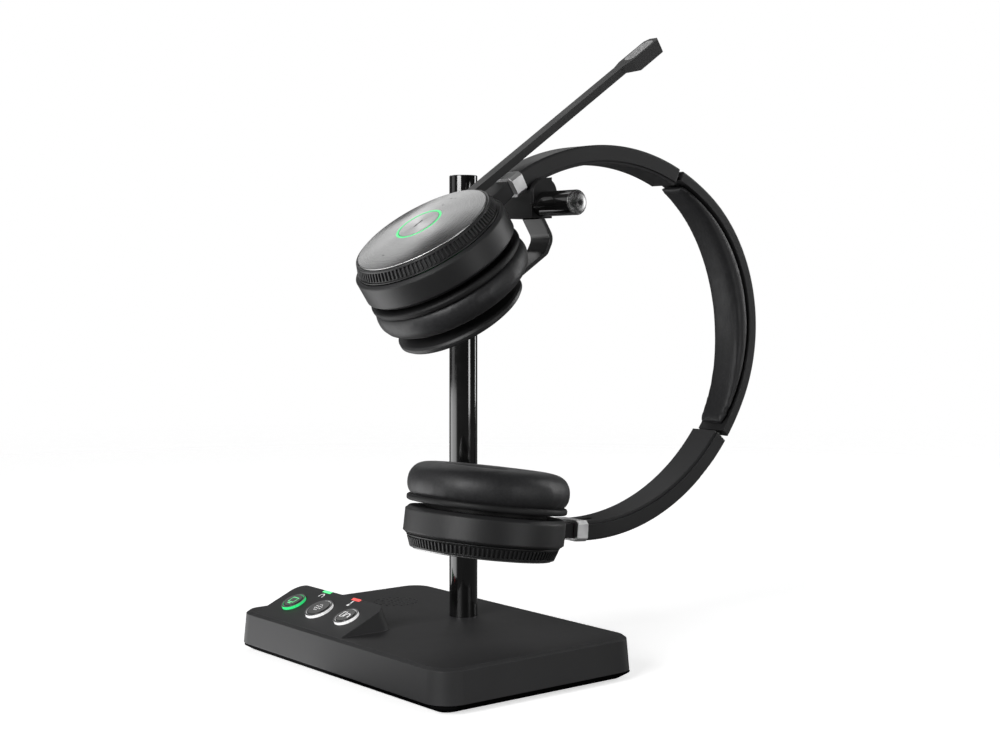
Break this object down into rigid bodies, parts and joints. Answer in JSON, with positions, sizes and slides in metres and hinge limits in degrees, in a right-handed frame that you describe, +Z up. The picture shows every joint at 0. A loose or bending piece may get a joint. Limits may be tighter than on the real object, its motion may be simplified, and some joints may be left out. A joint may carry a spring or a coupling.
{
  "type": "office headset",
  "caption": "Cordless on-ear office headset with a swinging microphone boom, docked on its charging stand with call keys.",
  "frame": {"origin": "centre of the base underside, on the desk", "axes": "+Z up, +X along the base front edge to the right, +Y to the back; the call keys face -Y"},
  "size_m": [0.1502, 0.2062, 0.2657],
  "materials": {
    "shell_black": "fine matte",
    "liner_grey": "satin",
    "gloss_black": "high gloss",
    "spun_metal": "spun, fine circular lines",
    "silver": "satin",
    "strap_metal": "satin",
    "steel": "plain",
    "gold": "plated",
    "leather": "soft grain",
    "rubber": "matte",
    "circuit_green": "solder mask",
    "battery_foil": "foil",
    "glow_green": "lit",
    "glow_white": "lit",
    "glow_red": "lit"
  },
  "bodies": {
    "stand": {"ballast_plate": "steel", "base_board": "circuit_green", "base_cover": "shell_black", "base_shell": "shell_black", "charge_pins": "gold", "cover_screws": "steel", "cradle_block": "shell_black", "cradle_strap": "strap_metal", "cross_rod": "gloss_black", "cup_tray": "strap_metal", "foot_mat": "rubber", "key_board": "circuit_green", "left_key_ring": "glow_green", "middle_key_ring": "glow_white", "mute_light": "glow_red", "pole": "gloss_black", "pole_cap": "gloss_black", "pole_nut": "steel", "right_key_ring": "glow_white", "ringer": "shell_black", "rod_end_cap": "spun_metal", "status_light": "glow_green", "usb_sockets": "silver"},
    "left_key": {"left_key": "shell_black"},
    "middle_key": {"middle_key": "shell_black"},
    "right_key": {"right_key": "shell_black"},
    "upper_arm": {"upper_arm_shell": "shell_black", "upper_arm_liner": "liner_grey", "upper_slide_strip": "steel", "upper_clip_ring": "silver", "upper_charge_contact": "gold", "upper_cup_pivot": "shell_black"},
    "headband": {"band_shell": "shell_black", "band_spring": "steel", "crown_pad": "leather"},
    "lower_arm": {"lower_arm_shell": "shell_black", "lower_arm_liner": "liner_grey", "lower_slide_strip": "steel", "lower_clip_ring": "silver", "lower_charge_contact": "gold", "lower_cup_pivot": "shell_black"},
    "upper_cup": {"upper_cup_housing": "shell_black", "upper_baffle": "shell_black", "upper_driver": "shell_black", "upper_ear_cushion": "leather", "upper_disc": "spun_metal", "upper_board": "circuit_green", "button_light": "glow_green"},
    "lower_cup": {"lower_cup_housing": "shell_black", "lower_baffle": "shell_black", "lower_driver": "shell_black", "lower_ear_cushion": "leather", "lower_disc": "spun_metal", "lower_rib_ring": "shell_black", "lower_battery": "battery_foil"},
    "boom": {"boom_ring": "shell_black", "boom_arm": "shell_black", "mic_grille": "silver", "mic_capsule": "silver"},
    "call_button": {"call_button": "spun_metal"}
  },
  "joints": [
    {"name": "left_key_press", "type": "slide", "parent": "stand", "child": "left_key", "axis": [0, 0.4003, -0.9164], "range_m": [0, 0.0008], "stiffness_N_per_m": 600, "springref_m": -0.0008},
    {"name": "middle_key_press", "type": "slide", "parent": "stand", "child": "middle_key", "axis": [0, 0.4003, -0.9164], "range_m": [0, 0.0008], "stiffness_N_per_m": 600, "springref_m": -0.0008},
    {"name": "right_key_press", "type": "slide", "parent": "stand", "child": "right_key", "axis": [0, 0.4003, -0.9164], "range_m": [0, 0.0008], "stiffness_N_per_m": 600, "springref_m": -0.0008},
    {"name": "headset_lift", "type": "slide", "parent": "stand", "child": "upper_arm", "axis": [0, -0.5673, 0.8235], "range_m": [0, 0.03]},
    {"name": "upper_size_slide", "type": "hinge", "parent": "upper_arm", "child": "headband", "pos_m": [0.0403, 0.05995, 0.11618], "axis": [1, 0, 0], "range_deg": [-12, 0]},
    {"name": "lower_size_slide", "type": "hinge", "parent": "headband", "child": "lower_arm", "pos_m": [0.0403, 0.05105, 0.15367], "axis": [1, 0, 0], "range_deg": [-12, 0]},
    {"name": "upper_cup_tilt", "type": "hinge", "parent": "upper_arm", "child": "upper_cup", "pos_m": [0.0403, -0.00591, 0.1868], "axis": [1, 0, 0], "range_deg": [-2, 0]},
    {"name": "lower_cup_tilt", "type": "hinge", "parent": "lower_arm", "child": "lower_cup", "pos_m": [0.0403, 0.02357, 0.05832], "axis": [1, 0, 0], "range_deg": [-6, 8]},
    {"name": "boom_swing", "type": "hinge", "parent": "upper_cup", "child": "boom", "pos_m": [0.0403, -0.03367, 0.18055], "axis": [0, -0.5673, 0.8235], "range_deg": [-150, 150]},
    {"name": "call_button_press", "type": "slide", "parent": "upper_cup", "child": "call_button", "axis": [0, 0.5673, -0.8235], "range_m": [0, 0.0005], "stiffness_N_per_m": 500, "springref_m": -0.0008}
  ]
}
